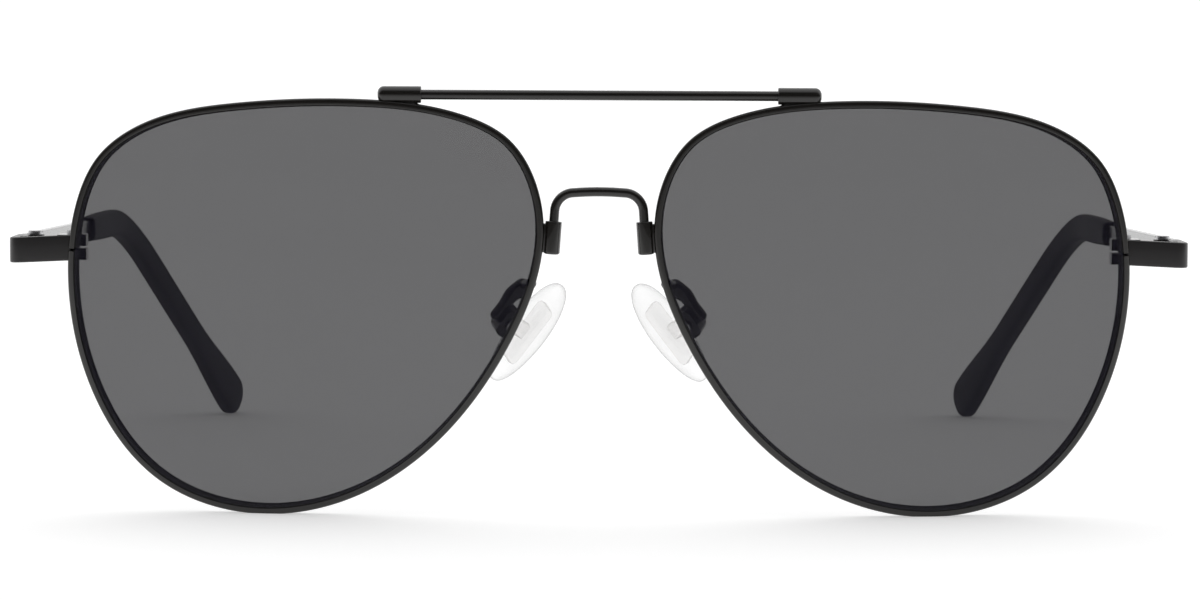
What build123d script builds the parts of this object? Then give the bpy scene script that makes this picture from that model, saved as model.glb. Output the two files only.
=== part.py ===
"""Aviator sunglasses: two lenses in wire rims, a brow bar, a bridge, folding temples and rocking nose pads.

Millimetres. +X is the wearer's left, the lenses face -Y, the temples run towards +Y, and the rims and
the temple tips stand on Z = 0. Every paired piece is made once, on the wearer's left, and mirrored.
"""
from build123d import *
from math import atan2, cos, radians, sin
import os

# ---- lenses and rims -------------------------------------------------------------------------------
lens_width = 58.7          # over the points of the bevel
lens_height = 51.7
lens_thickness = 2.0
lens_radius = 130.0        # front surface of a base four lens
bevel_depth = 0.45         # how far the edge's V stands out
bevel_flat = 0.1           # flat left on the V
groove_clearance = 0.02    # play of the lens in the rim's groove
seat_margin = 0.02         # trims the resting height so that the lowest points touch Z = 0
rim_wall = 0.45            # metal outside the groove
rim_depth = 1.85           # front to back
rim_rounding = 0.4
rim_slit = 0.3             # where the rim ends are drawn together
bridge_gap = 13.8          # between the two rims
face_tilt = 6.0            # tops of the lenses lean forward, degrees
face_wrap = 5.0            # outer ends of the lenses lean back, degrees

# The lens shape as shares of half its width and half its height: outer side first, then over the top.
lens_shape = [
    (1.000, 0.087), (0.958, 0.500), (0.874, 0.696), (0.723, 0.837), (0.286, 0.971), (-0.254, 0.998),
    (-0.683, 0.922), (-0.851, 0.819), (-0.957, 0.641), (-1.000, 0.390), (-0.863, -0.144),
    (-0.517, -0.669), (-0.284, -0.859), (0.158, -1.000), (0.626, -0.852), (0.916, -0.392),
]

# ---- end pieces, rim locks and hinges --------------------------------------------------------------
strip_height = 3.2
strip_thickness = 1.1
strip_corner = 1.6         # outside radius of the end piece's corner
strip_drop = 0.35          # the end piece falls this much from rim to hinge
strip_overlap = 0.5        # the end piece laps this far over the rim's side
strip_setback = 0.1        # the strip stands this far behind the rim's middle
endpiece_reach = 7.9       # from the rim's side to the temple's outer face
endpiece_depth = 7.6       # from the end piece's front to the hinge pin
lock_rise = 7.6            # the rim lock's middle above the lens centre
lock_inner = 1.7           # lock block inside the rim's side
lock_outer = 1.8           # lock block outside the rim's side
lock_depth = 2.9           # lock block behind the rim's middle
lock_screw_depth = 1.8
lock_screw_inset = 0.1     # screw inside the rim's side
lock_screw_diameter = 1.2
lock_head_diameter = 1.9
lock_head_height = 0.5
knuckle_radius = 1.15
knuckle_gap = 0.05         # between knuckles
knuckle_offset = 0.1       # between knuckle and strip
knuckle_room = 0.12        # relief around the other half's knuckles
knuckle_middle = 1.2       # height of the temple's knuckle
hinge_leaf = 4.6           # how far each hinge half runs along its strip
hinge_leaf_thickness = 0.8
hinge_screw_diameter = 1.1
hinge_bore_clearance = 0.03
hinge_head_diameter = 1.8
hinge_head_height = 0.45
butt_gap = 0.04            # between end piece and temple when open

# ---- temples and tips ------------------------------------------------------------------------------
temple_straight = 85.0     # hinge to the corner of the bend
temple_bend_radius = 28.0
temple_inset = 2.6         # how far the straight part leans inwards by the bend
temple_fall = 0.9          # how far it falls by the bend
drop_slope = 39.0          # the tip's drop below level, degrees
drop_turn = 21.0           # the tip's turn inwards, degrees
temple_end_height = 2.5    # the strip's height where it enters the tip
temple_strip_length = 54.0
core_diameter = 1.3
core_end_gap = 9.0         # core wire to the end of the tip
tip_lap = 2.0              # the tip covers this much of the strip
tip_thickness = 2.5
tip_height = 3.8
tip_mouth_height = 3.4
paddle_height = 6.2
paddle_length = 17.0
paddle_taper = 0.6         # lower by this much half way along the paddle
tip_edge = 0.6             # rounding of the tip's long edges
tip_margin = 0.03          # trims the drop so that the paddle touches Z = 0

# ---- brow bar and bridge ---------------------------------------------------------------------------
brow_wire = 1.25
brow_rise = 0.55           # bar centre above the rims' tops
brow_sleeve_diameter = 2.1
brow_sleeve_length = 5.4
brow_sleeve_outer_end = 27.4
brow_foot_width = 3.6
brow_foot_thickness = 1.0
brow_foot_depth = 2.3      # below the bar's centre, down to the rim
brow_wire_depth = 4.4      # of the bar inside each sleeve
bridge_wire = 1.18
bridge_foot_half = 5.75    # half the distance between the bridge's feet
bridge_shoulder_half = 5.35
bridge_corner = 2.4
bridge_crown = 0.35        # the arch's middle above its shoulders
bridge_crown_radius = 38.0
bridge_rise = 5.8          # arch above the sleeves' middle
bridge_height = 9.4        # sleeves' middle above the lens centre
bridge_sleeve_diameter = 2.05
bridge_sleeve_length = 4.1
bridge_tab_height = 3.7
bridge_tab_thickness = 0.9
bridge_wire_depth = 1.6    # of the wire below the sleeve's middle

# ---- nose pads -------------------------------------------------------------------------------------
pad_width = 7.6
pad_height = 15.0
pad_thickness = 2.6
pad_outboard = 0.6         # pad centre outside the arm's foot
pad_setback = 5.8          # pad centre behind the arm's foot
pad_drop = 6.6             # pad centre below the arm's foot
pad_lean = 37.0            # long axis from upright, seen from the front, degrees
pad_recline = 8.0          # lower end further back, degrees
pad_splay = 62.0           # face turned from straight back towards the nose, degrees
core_width = 3.8
core_height = 8.4
core_thickness = 0.9
lug_width = 1.5
lug_height = 2.0
lug_length = 2.5           # behind the pad's back
pad_floor_clear = 0.3      # lug's end to the floor of the box
pad_box_wall = 0.45
pad_box_play = 0.06        # each side of the lug
pad_box_clear = 1.0        # between the pad's back and the box, which lets the pad rock
pad_box_length = 3.8
pad_box_corner = 0.9
pad_screw_depth = 1.75     # screw behind the pad's back
pad_screw_diameter = 0.9
pad_screw_clearance = 0.03
pad_screw_head = 1.5
pad_screw_head_height = 0.4
arm_wire = 1.2
arm_foot_share = 0.965     # arm's foot towards the nose, as a share of half the lens width
arm_foot_rise = 3.5        # arm's foot above the lens centre
arm_bite = 0.4             # how far the arm's foot reaches into the rim
arm_lap = 0.1              # how far the arm sinks into the back of the pad box
arm_shoulder = (0.6, 3.2, -0.3)   # first corner of the arm, from its foot
arm_corner = 0.96          # radius of the arm's corners
arm_start = 3.2            # the arm lies along the box from here above its middle
arm_end = 0.8              # to here below its middle

# ---- places worked out from the sizes --------------------------------------------------------------
temporal = Vector(1, 0, 0).rotate(Axis.Z, face_wrap).rotate(Axis.X, face_tilt)
forward = Vector(0, -1, 0).rotate(Axis.Z, face_wrap).rotate(Axis.X, face_tilt)
upward = forward.cross(temporal)


def edge_point(share_across, share_up, grow=0.0, depth=0.0):
    """A point by the lens edge, from the lens centre: shares of the half sizes, depth behind the front."""
    across = (lens_width / 2 + grow) * share_across
    up = (lens_height / 2 + grow) * share_up
    sag = (across ** 2 + up ** 2) / (2 * lens_radius)
    return temporal * across + upward * up - forward * (sag + depth)


rim_middle = lens_thickness / 2
nasal_edge = edge_point(-1.0, 0.39, rim_wall, rim_middle)
top_edge = edge_point(-0.2, 1.0, rim_wall, rim_middle)
brow_edge = edge_point(-0.43, 0.97, rim_wall, rim_middle)
side_edge = edge_point(0.99, 2 * lock_rise / lens_height, rim_wall, rim_middle)
# The rim's lowest point lies on its rounded front edge.
bottom_edge = edge_point(0.13, -1.0, rim_wall - rim_rounding, rim_middle - rim_depth / 2 + rim_rounding)
lens_x = bridge_gap / 2 - nasal_edge.X
lens_z = rim_rounding - bottom_edge.Z - seat_margin

# Hinge pin and strips, with the depth still counted from the lens centre.
side_x = lens_x + side_edge.X
outer_face_x = side_x + endpiece_reach
inner_face_x = outer_face_x - strip_thickness
pivot_x = inner_face_x - knuckle_radius - knuckle_offset
lock_z = lens_z + lock_rise
hinge_z = lock_z - strip_drop
strip_face_setback = side_edge.Y - strip_thickness / 2 + strip_setback
pivot_setback = strip_face_setback + endpiece_depth

# The temple: level to the corner of its bend, then down and inwards until the paddle rests on Z = 0.
drop_direction = Vector(
    -cos(radians(drop_slope)) * sin(radians(drop_turn)),
    cos(radians(drop_slope)) * cos(radians(drop_turn)),
    -sin(radians(drop_slope)),
)
corner_z = hinge_z - temple_fall
drop_length = (corner_z - paddle_height / 2 - tip_margin) / sin(radians(drop_slope)) + paddle_height / 2
overall_depth = pivot_setback + butt_gap + temple_straight + drop_length * drop_direction.Y
front_most = 1.2           # the lens's nose side stands this far in front of its centre
end_overhang = 0.9         # the paddle's round end stands this far behind its axis's end
lens_y = -(overall_depth + end_overhang - front_most) / 2
lens_centre = Vector(lens_x, lens_y, lens_z)
lens_plane = Plane(origin=lens_centre, x_dir=temporal, z_dir=forward)
side_y = lens_y + side_edge.Y
strip_face_y = lens_y + strip_face_setback
pivot_y = lens_y + pivot_setback
temple_start = Vector(outer_face_x - strip_thickness / 2, pivot_y + butt_gap, hinge_z)
temple_corner = temple_start + Vector(-temple_inset, temple_straight, -temple_fall)
temple_end = temple_corner + drop_direction * drop_length
temple_direction = (temple_corner - temple_start).normalized()

os.makedirs("parts", exist_ok=True)


def export_pair(piece, name):
    """Write a left piece, and its mirror image for the right side."""
    piece.part.label = name + "_left"
    export_step(piece.part, f"parts/{name}_left.step")
    with BuildPart() as twin:
        mirror(piece.part, about=Plane.YZ)
    twin.part.label = name + "_right"
    export_step(twin.part, f"parts/{name}_right.step")


def bent_sheet(front_depth, back_depth):
    """The space between two spheres about the lens's centre of curvature."""
    with BuildPart(lens_plane.offset(-lens_radius)) as sheet:
        Sphere(lens_radius - front_depth, rotation=(0, 90, 0))
        Sphere(lens_radius - back_depth, rotation=(0, 90, 0), mode=Mode.SUBTRACT)
    return sheet.part


def lens_prism(grow):
    """A deep block with the lens's outline, grown outwards."""
    half_width = lens_width / 2 + grow
    half_height = lens_height / 2 + grow
    with BuildPart() as prism:
        with BuildSketch(lens_plane.offset(-lens_width / 4)):
            with BuildLine():
                Spline(*[(half_width * x, half_height * y) for x, y in lens_shape], periodic=True)
            make_face()
        extrude(amount=lens_width / 3)
    return prism.part


def lens_body(grow):
    """A bevelled lens; grown by the clearance it is the room that the rim's groove leaves for it."""
    prism = lens_prism(grow)
    sheet = bent_sheet(-grow, lens_thickness + grow)
    with BuildPart() as body:
        add(prism)
        add(sheet, mode=Mode.INTERSECT)
        wall = body.faces().filter_by(GeomType.SPHERE, reverse=True)[0]
        rims = body.edges().filter_by(lambda edge: edge.length > lens_width)
        bevel_run = (lens_thickness + 2 * grow - bevel_flat) / 2
        chamfer(rims, length=bevel_run, length2=bevel_depth, reference=wall)
    return body


# ---- lenses ----------------------------------------------------------------------------------------
lens = lens_body(0)
export_pair(lens, "lens")
lens_room = lens_body(groove_clearance)

# ---- rims: a wire ring with a V groove, slit at the temple side -------------------------------------
rim_outside = lens_prism(rim_wall)
rim_inside = lens_prism(-bevel_depth)
rim_sheet = bent_sheet(rim_middle - rim_depth / 2, rim_middle + rim_depth / 2)
with BuildPart() as rim:
    add(rim_outside)
    add(rim_sheet, mode=Mode.INTERSECT)
    fillet(rim.edges().filter_by(lambda edge: edge.length > lens_width), rim_rounding)
    add(rim_inside, mode=Mode.SUBTRACT)
    add(lens_room.part, mode=Mode.SUBTRACT)
    with BuildSketch(Plane.XY.offset(lock_z - rim_slit / 2)):
        with Locations((side_x, side_y)):
            Rectangle(lock_inner * 4, lock_depth * 4)
    extrude(amount=rim_slit, mode=Mode.SUBTRACT)
export_pair(rim, "rim")

# ---- end pieces: a strip that leaves the rim sideways and turns back to the hinge -------------------
endpiece_end_y = pivot_y - butt_gap
with BuildPart() as endpiece:
    with BuildSketch(Plane.XY.offset(hinge_z - strip_height)) as plan:
        with BuildLine():
            Polyline(
                (side_x - strip_overlap, strip_face_y),
                (outer_face_x, strip_face_y),
                (outer_face_x, endpiece_end_y),
                (inner_face_x, endpiece_end_y),
                (inner_face_x, strip_face_y + strip_thickness),
                (side_x - strip_overlap, strip_face_y + strip_thickness),
                close=True,
            )
        make_face()
        outside_corner = plan.vertices().group_by(Axis.Y)[0].sort_by(Axis.X)[-1]
        inside_corner = plan.vertices().group_by(Axis.Y)[1].sort_by(Axis.X)[-1]
        fillet(outside_corner, strip_corner)
        fillet(inside_corner, strip_corner - strip_thickness)
    extrude(amount=2 * strip_height)
    with BuildSketch(Plane.XZ.offset(-lens_y - overall_depth)):
        with BuildLine():
            Polyline(
                (side_x - strip_overlap, lock_z - strip_height / 2),
                (inner_face_x, hinge_z - strip_height / 2),
                (outer_face_x, hinge_z - strip_height / 2),
                (outer_face_x, hinge_z + strip_height / 2),
                (inner_face_x, hinge_z + strip_height / 2),
                (side_x - strip_overlap, lock_z + strip_height / 2),
                close=True,
            )
        make_face()
    extrude(amount=2 * overall_depth, mode=Mode.INTERSECT)
    for neighbour in (rim, lens_room):
        add(neighbour.part, mode=Mode.SUBTRACT)
export_pair(endpiece, "endpiece")

# ---- rim locks: two blocks brazed to the rim's ends, drawn together by a screw ----------------------
lock_screw_x = side_x - lock_screw_inset
lock_screw_y = side_y + lock_screw_depth
lock_height = (strip_height - rim_slit) / 2


def rim_lock(bottom_z, bore):
    """One block of the rim lock, fitted round the rim, the lens and the end piece."""
    with BuildPart() as block:
        with BuildSketch(Plane.XY.offset(bottom_z)):
            with Locations((side_x + (lock_outer - lock_inner) / 2, side_y + lock_depth / 2)):
                Rectangle(lock_inner + lock_outer, lock_depth)
        extrude(amount=lock_height)
        for neighbour in (rim, lens_room, endpiece):
            add(neighbour.part, mode=Mode.SUBTRACT)
        with BuildSketch(Plane.XY.offset(bottom_z)):
            with Locations((lock_screw_x, lock_screw_y)):
                Circle(bore / 2)
        extrude(amount=lock_height, mode=Mode.SUBTRACT)
    return block


upper_bottom = lock_z + rim_slit / 2
lower_bottom = lock_z - rim_slit / 2 - lock_height
export_pair(rim_lock(upper_bottom, lock_screw_diameter + 2 * hinge_bore_clearance), "rim_lock_upper")
export_pair(rim_lock(lower_bottom, lock_screw_diameter), "rim_lock_lower")


def screw(centre, direction, length, diameter, head_diameter, head_height):
    """A screw with a slotted head; centre is the middle of the head's underside."""
    seat = Plane(origin=centre, z_dir=direction)
    slot_width = head_diameter / 5
    with BuildPart(seat) as fastener:
        with BuildSketch(seat.offset(-length)):
            Circle(diameter / 2)
        extrude(amount=length)
        with BuildSketch(seat):
            Circle(head_diameter / 2)
        extrude(amount=head_height)
        with BuildSketch(seat.offset(head_height / 2)):
            Rectangle(head_diameter, slot_width)
        extrude(amount=head_height, mode=Mode.SUBTRACT)
    return fastener


lock_top = Vector(lock_screw_x, lock_screw_y, upper_bottom + lock_height)
lock_screw_length = 2 * lock_height + rim_slit
export_pair(
    screw(lock_top, (0, 0, 1), lock_screw_length, lock_screw_diameter, lock_head_diameter, lock_head_height),
    "rim_lock_screw",
)

# ---- temples: a strip that thins towards the tip, then a round core inside it -----------------------
strip_end = temple_start + temple_direction * temple_strip_length
core_end = temple_end - drop_direction * core_end_gap
start_plane = Plane(origin=temple_start, x_dir=(1, 0, 0), z_dir=temple_direction)
strip_end_plane = Plane(origin=strip_end, x_dir=(1, 0, 0), z_dir=temple_direction)
with BuildPart() as temple:
    with BuildSketch(start_plane):
        Rectangle(strip_thickness, strip_height)
    with BuildSketch(strip_end_plane):
        Rectangle(strip_thickness, temple_end_height)
    loft()
    with BuildLine() as core_path:
        FilletPolyline(strip_end, temple_corner, core_end, radius=temple_bend_radius)
    with BuildSketch(strip_end_plane):
        Circle(core_diameter / 2)
    sweep(path=core_path.wires()[0])
export_pair(temple, "temple")

# ---- temple tips: a sleeve over the core that widens into a paddle ----------------------------------
tip_start = strip_end - temple_direction * tip_lap
paddle_start = temple_end - drop_direction * (paddle_height / 2 + paddle_length)
round_start = temple_end - drop_direction * (paddle_height / 2)


def tip_section(centre, direction, height, thickness=tip_thickness):
    """A rounded rectangle across the tip."""
    side = direction.cross(Vector(0, 0, 1)).normalized()
    with BuildSketch(Plane(origin=centre, x_dir=side, z_dir=direction)) as section:
        RectangleRounded(thickness, height, min(tip_edge, 0.45 * thickness, 0.45 * height))
    return section.sketch


with BuildLine() as tip_path:
    FilletPolyline(tip_start, temple_corner, temple_end, radius=temple_bend_radius)
level, bend, drop = tip_path.edges().sort_by(Axis.Y)
paddle_middle = paddle_start + drop_direction * paddle_length / 2
sleeve_sections = [tip_section(tip_start, temple_direction, tip_mouth_height)]
sleeve_sections += [tip_section(level @ 0.5, temple_direction, tip_height)]
sleeve_sections += [tip_section(bend @ share, bend % share, tip_height) for share in (0, 0.5, 1)]
sleeve_sections += [
    tip_section(paddle_start, drop_direction, tip_height),
    tip_section(paddle_middle, drop_direction, paddle_height - paddle_taper),
    tip_section(round_start, drop_direction, paddle_height),
]
# The end of the paddle is half round, with thinned edges.
end_sections = []
for share in (0, 0.4, 0.7, 0.9, 1):
    rise = (1 - (0.97 * share) ** 2) ** 0.5
    centre = round_start + drop_direction * (share * paddle_height / 2)
    thickness = tip_thickness * (0.4 + 0.6 * rise)
    end_sections.append(tip_section(centre, drop_direction, paddle_height * rise, thickness))
with BuildPart() as temple_tip:
    loft(sleeve_sections)
    loft(end_sections, ruled=True)
    add(temple.part, mode=Mode.SUBTRACT)
export_pair(temple_tip, "temple_tip")

# ---- hinges: two knuckles on the end piece, one on the temple ---------------------------------------
hinge_bottom = hinge_z - strip_height / 2
middle_bottom = hinge_z - knuckle_middle / 2
outer_knuckle = (strip_height - knuckle_middle) / 2 - knuckle_gap
hinge_room = knuckle_radius + knuckle_room
hinge_bore = hinge_screw_diameter / 2 + hinge_bore_clearance
web_width = inner_face_x - pivot_x


def hinge_disc(bottom_z, height, radius, mode=Mode.ADD):
    """A disc about the hinge pin."""
    with Locations((pivot_x, pivot_y, bottom_z)):
        Cylinder(radius, height, align=(Align.CENTER, Align.CENTER, Align.MIN), mode=mode)


def hinge_plate(bottom_z, height, low_corner, size):
    """A plate given by its low corner, counted from the pin, and its size."""
    with Locations((pivot_x + low_corner[0], pivot_y + low_corner[1], bottom_z)):
        Box(size[0], size[1], height, align=(Align.MIN, Align.MIN, Align.MIN))


leaf_start = web_width - hinge_leaf_thickness
with BuildPart() as hinge_front:
    front_leaf = (hinge_leaf_thickness, hinge_leaf - butt_gap)
    hinge_plate(hinge_bottom, strip_height, (leaf_start, -hinge_leaf), front_leaf)
    for bottom in (hinge_bottom, hinge_bottom + strip_height - outer_knuckle):
        hinge_disc(bottom, outer_knuckle, knuckle_radius)
        hinge_plate(bottom, outer_knuckle, (0, -knuckle_radius), (web_width, knuckle_radius - butt_gap))
    hinge_disc(hinge_bottom + outer_knuckle, strip_height - 2 * outer_knuckle, hinge_room, Mode.SUBTRACT)
    hinge_disc(hinge_bottom, outer_knuckle, hinge_screw_diameter / 2, Mode.SUBTRACT)
    hinge_disc(hinge_z, strip_height, hinge_bore, Mode.SUBTRACT)
    add(endpiece.part, mode=Mode.SUBTRACT)
export_pair(hinge_front, "hinge_front")

with BuildPart() as hinge_temple:
    temple_leaf = (hinge_leaf_thickness, hinge_leaf - hinge_room)
    hinge_plate(hinge_bottom, strip_height, (leaf_start, hinge_room), temple_leaf)
    hinge_plate(middle_bottom, knuckle_middle, (0, butt_gap), (web_width, hinge_room))
    hinge_disc(middle_bottom, knuckle_middle, knuckle_radius)
    hinge_disc(middle_bottom, knuckle_middle, hinge_bore, Mode.SUBTRACT)
    add(temple.part, mode=Mode.SUBTRACT)
export_pair(hinge_temple, "hinge_temple")

hinge_top = Vector(pivot_x, pivot_y, hinge_bottom + strip_height)
export_pair(
    screw(hinge_top, (0, 0, 1), strip_height, hinge_screw_diameter, hinge_head_diameter, hinge_head_height),
    "hinge_screw",
)

# ---- brow bar and its sleeves ----------------------------------------------------------------------
brow_y = lens_y + brow_edge.Y
brow_z = lens_z + top_edge.Z + brow_rise
sleeve_inner_end = brow_sleeve_outer_end - brow_sleeve_length
bar_half = sleeve_inner_end + brow_wire_depth
bar_plane = Plane(origin=(0, brow_y, brow_z), x_dir=(0, 1, 0), z_dir=(1, 0, 0))
with BuildPart() as brow_bar:
    with BuildSketch(bar_plane.offset(-bar_half)):
        Circle(brow_wire / 2)
    extrude(amount=2 * bar_half)
brow_bar.part.label = "brow_bar"
export_step(brow_bar.part, "parts/brow_bar.step")

with BuildPart() as brow_sleeve:
    with BuildSketch(bar_plane.offset(sleeve_inner_end)):
        Circle(brow_sleeve_diameter / 2)
    extrude(amount=brow_sleeve_length)
    fillet(brow_sleeve.edges().group_by(Axis.X)[-1], brow_sleeve_diameter * 0.4)
    with BuildSketch(bar_plane.offset(sleeve_inner_end + (brow_sleeve_length - brow_foot_width) / 2)):
        with Locations((0, -brow_foot_depth / 2)):
            Rectangle(brow_foot_thickness, brow_foot_depth)
    extrude(amount=brow_foot_width)
    for neighbour in (brow_bar, rim, lens_room):
        add(neighbour.part, mode=Mode.SUBTRACT)
export_pair(brow_sleeve, "brow_sleeve")

# ---- bridge and its sleeves ------------------------------------------------------------------------
bridge_y = lens_y + nasal_edge.Y
bridge_z = lens_z + bridge_height
bridge_plane = Plane(origin=(0, bridge_y, bridge_z), x_dir=(1, 0, 0), z_dir=(0, -1, 0))
leg_angle = atan2(bridge_foot_half - bridge_shoulder_half, bridge_rise)
leg_direction = Vector(-sin(leg_angle), 0, cos(leg_angle))
sleeve_centre = Vector(bridge_foot_half, bridge_y, bridge_z)
sleeve_plane = Plane(origin=sleeve_centre, x_dir=(0, 1, 0), z_dir=leg_direction)
wire_foot = sleeve_centre - leg_direction * bridge_wire_depth
arch_z = bridge_z + bridge_rise
with BuildPart() as bridge:
    with BuildLine() as bridge_path:
        FilletPolyline(
            wire_foot,
            (bridge_shoulder_half, bridge_y, arch_z - bridge_crown),
            (0, bridge_y, arch_z),
            (-bridge_shoulder_half, bridge_y, arch_z - bridge_crown),
            (-wire_foot.X, bridge_y, wire_foot.Z),
            radius=[bridge_corner, bridge_crown_radius, bridge_corner],
        )
    with BuildSketch(Plane(origin=wire_foot, z_dir=leg_direction)):
        Circle(bridge_wire / 2)
    sweep(path=bridge_path.wires()[0])
bridge.part.label = "bridge"
export_step(bridge.part, "parts/bridge.step")

tab_reach = bridge_gap / 2 + rim_wall - bridge_foot_half
with BuildPart() as bridge_sleeve:
    with BuildSketch(sleeve_plane.offset(-bridge_sleeve_length / 2)):
        Circle(bridge_sleeve_diameter / 2)
    extrude(amount=bridge_sleeve_length)
    with BuildSketch(Plane.XY.offset(bridge_z - bridge_tab_height / 2)):
        with Locations((bridge_foot_half + tab_reach / 2, bridge_y)):
            Rectangle(tab_reach, bridge_tab_thickness)
    extrude(amount=bridge_tab_height)
    for neighbour in (bridge, rim, lens_room):
        add(neighbour.part, mode=Mode.SUBTRACT)
export_pair(bridge_sleeve, "bridge_sleeve")

# ---- nose pads: soft pad, hard core with a lug, screw, box and arm ----------------------------------
rim_back = rim_middle + rim_depth / 2
foot_up = arm_foot_rise / (lens_height / 2)
arm_foot = lens_centre + edge_point(-arm_foot_share, foot_up, 0, rim_back - arm_bite)
pad_centre = arm_foot + Vector(pad_outboard, pad_setback, -pad_drop)
lean = radians(pad_lean)
recline = radians(pad_recline)
pad_up = Vector(-sin(lean) * cos(recline), -sin(recline), cos(lean) * cos(recline))
towards_nose = Vector(-cos(lean), 0, -sin(lean))
pad_face = towards_nose * sin(radians(pad_splay)) + Vector(0, 1, 0) * cos(radians(pad_splay))
pad_normal = (pad_face - pad_up * pad_face.dot(pad_up)).normalized()
pad_across = pad_up.cross(pad_normal)
pad_plane = Plane(origin=pad_centre, x_dir=pad_across, z_dir=pad_normal)
pad_back = -pad_thickness / 2
screw_level = pad_back - pad_screw_depth


def across_pad(start, level=0.0, along=0.0):
    """A plane square to the pad's width, from a place counted across, behind and along the pad."""
    origin = pad_plane.from_local_coords(Vector(start, along, level))
    return Plane(origin=origin, x_dir=pad_up, z_dir=pad_across)



with BuildPart() as pad_core:
    with BuildSketch(pad_plane.offset(-core_thickness / 2)):
        RectangleRounded(core_width, core_height, core_width / 4)
    extrude(amount=core_thickness)
    with BuildSketch(pad_plane.offset(pad_back - lug_length)):
        Rectangle(lug_width, lug_height)
    extrude(amount=pad_thickness / 2 + lug_length - core_thickness / 2)
    with BuildSketch(across_pad(-lug_width, screw_level)):
        Circle(pad_screw_diameter / 2 + pad_screw_clearance)
    extrude(amount=2 * lug_width, mode=Mode.SUBTRACT)
export_pair(pad_core, "pad_core")

with BuildPart() as nose_pad:
    with BuildSketch(pad_plane.offset(pad_back)):
        Ellipse(pad_width / 2, pad_height / 2)
    extrude(amount=pad_thickness)
    fillet(nose_pad.edges().filter_by(lambda edge: edge.length > pad_width), pad_thickness * 0.4)
    add(pad_core.part, mode=Mode.SUBTRACT)
export_pair(nose_pad, "nose_pad")

box_half_width = lug_width / 2 + pad_box_play + pad_box_wall
box_top = pad_back - pad_box_clear
box_floor = pad_back - lug_length - pad_floor_clear
box_bottom = box_floor - pad_box_wall
box_depth = box_top - box_bottom
with BuildPart() as pad_box:
    with BuildSketch(across_pad(-box_half_width, (box_top + box_bottom) / 2)):
        RectangleRounded(pad_box_length, box_depth, pad_box_corner)
    extrude(amount=2 * box_half_width)
    with BuildSketch(pad_plane.offset(box_floor)):
        Rectangle(lug_width + 2 * pad_box_play, 2 * pad_box_length)
    extrude(amount=box_top - box_floor, mode=Mode.SUBTRACT)
    with BuildSketch(across_pad(-2 * box_half_width, screw_level)):
        Circle(pad_screw_diameter / 2)
    extrude(amount=4 * box_half_width, mode=Mode.SUBTRACT)
export_pair(pad_box, "pad_box")

pad_screw_seat = pad_plane.from_local_coords(Vector(box_half_width, 0, screw_level))
export_pair(
    screw(
        pad_screw_seat, pad_across, 2 * box_half_width,
        pad_screw_diameter, pad_screw_head, pad_screw_head_height,
    ),
    "pad_screw",
)

arm_level = box_bottom - arm_wire / 2 + arm_lap
with BuildPart() as pad_arm:
    with BuildLine() as arm_path:
        FilletPolyline(
            arm_foot,
            arm_foot + Vector(*arm_shoulder),
            pad_plane.from_local_coords(Vector(0, arm_start, arm_level)),
            pad_plane.from_local_coords(Vector(0, -arm_end, arm_level)),
            radius=arm_corner,
        )
    with BuildSketch(Plane(origin=arm_foot, z_dir=arm_path.wires()[0] % 0)):
        Circle(arm_wire / 2)
    sweep(path=arm_path.wires()[0])
    for neighbour in (rim, lens_room, pad_box):
        add(neighbour.part, mode=Mode.SUBTRACT)
export_pair(pad_arm, "pad_arm")
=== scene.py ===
# %% [markdown]
# # Aviator sunglasses
#
# A pair of sunglasses is mostly edges and reflections: two smoke grey lenses, each held in a wire no
# thicker than a match, and a few bent wires and strips that join them. The CAD model fixes where
# everything is and how it moves. This file gives it its finish: finer surfaces for the parts that
# catch the light, and a material for every piece.
#
# Everything is in metres, in the CAD model's frame: +X is the wearer's left, the lenses face -Y, the
# temples run towards +Y and the sunglasses stand on Z = 0. Every paired piece is worked out once, on
# the wearer's left, and mirrored for the right.

# %% Load the frame
import math

import bmesh
import bpy
import numpy as np
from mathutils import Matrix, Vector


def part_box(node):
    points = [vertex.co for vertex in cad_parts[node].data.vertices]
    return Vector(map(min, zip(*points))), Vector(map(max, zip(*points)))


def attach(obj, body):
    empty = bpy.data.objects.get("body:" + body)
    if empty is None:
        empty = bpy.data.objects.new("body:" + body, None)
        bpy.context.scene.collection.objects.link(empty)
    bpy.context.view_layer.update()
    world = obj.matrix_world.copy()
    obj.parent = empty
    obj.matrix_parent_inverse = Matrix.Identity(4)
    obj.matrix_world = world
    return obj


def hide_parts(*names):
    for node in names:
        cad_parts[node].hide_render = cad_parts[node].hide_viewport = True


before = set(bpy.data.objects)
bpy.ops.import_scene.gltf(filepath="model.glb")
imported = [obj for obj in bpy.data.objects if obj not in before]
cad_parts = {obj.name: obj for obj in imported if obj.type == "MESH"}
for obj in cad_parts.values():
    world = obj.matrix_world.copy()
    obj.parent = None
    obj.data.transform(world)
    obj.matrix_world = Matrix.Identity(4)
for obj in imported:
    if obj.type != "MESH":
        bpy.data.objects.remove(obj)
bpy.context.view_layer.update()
MM = 0.001
SIDES = {"left": 1, "right": -1}

# %% [markdown]
# ## From numbers to meshes
#
# Almost every piece here is a grid: rows of points, where each row is a cross-section and the rows
# follow a path. One function turns such a grid into a mesh. It could be left to Blender's own curve
# bevels, but a grid keeps each section's exact shape, so a groove or a rounded edge stays crisp.

# %% Grids, and closed meshes from them
JOIN_DISTANCE = 1e-7


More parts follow.
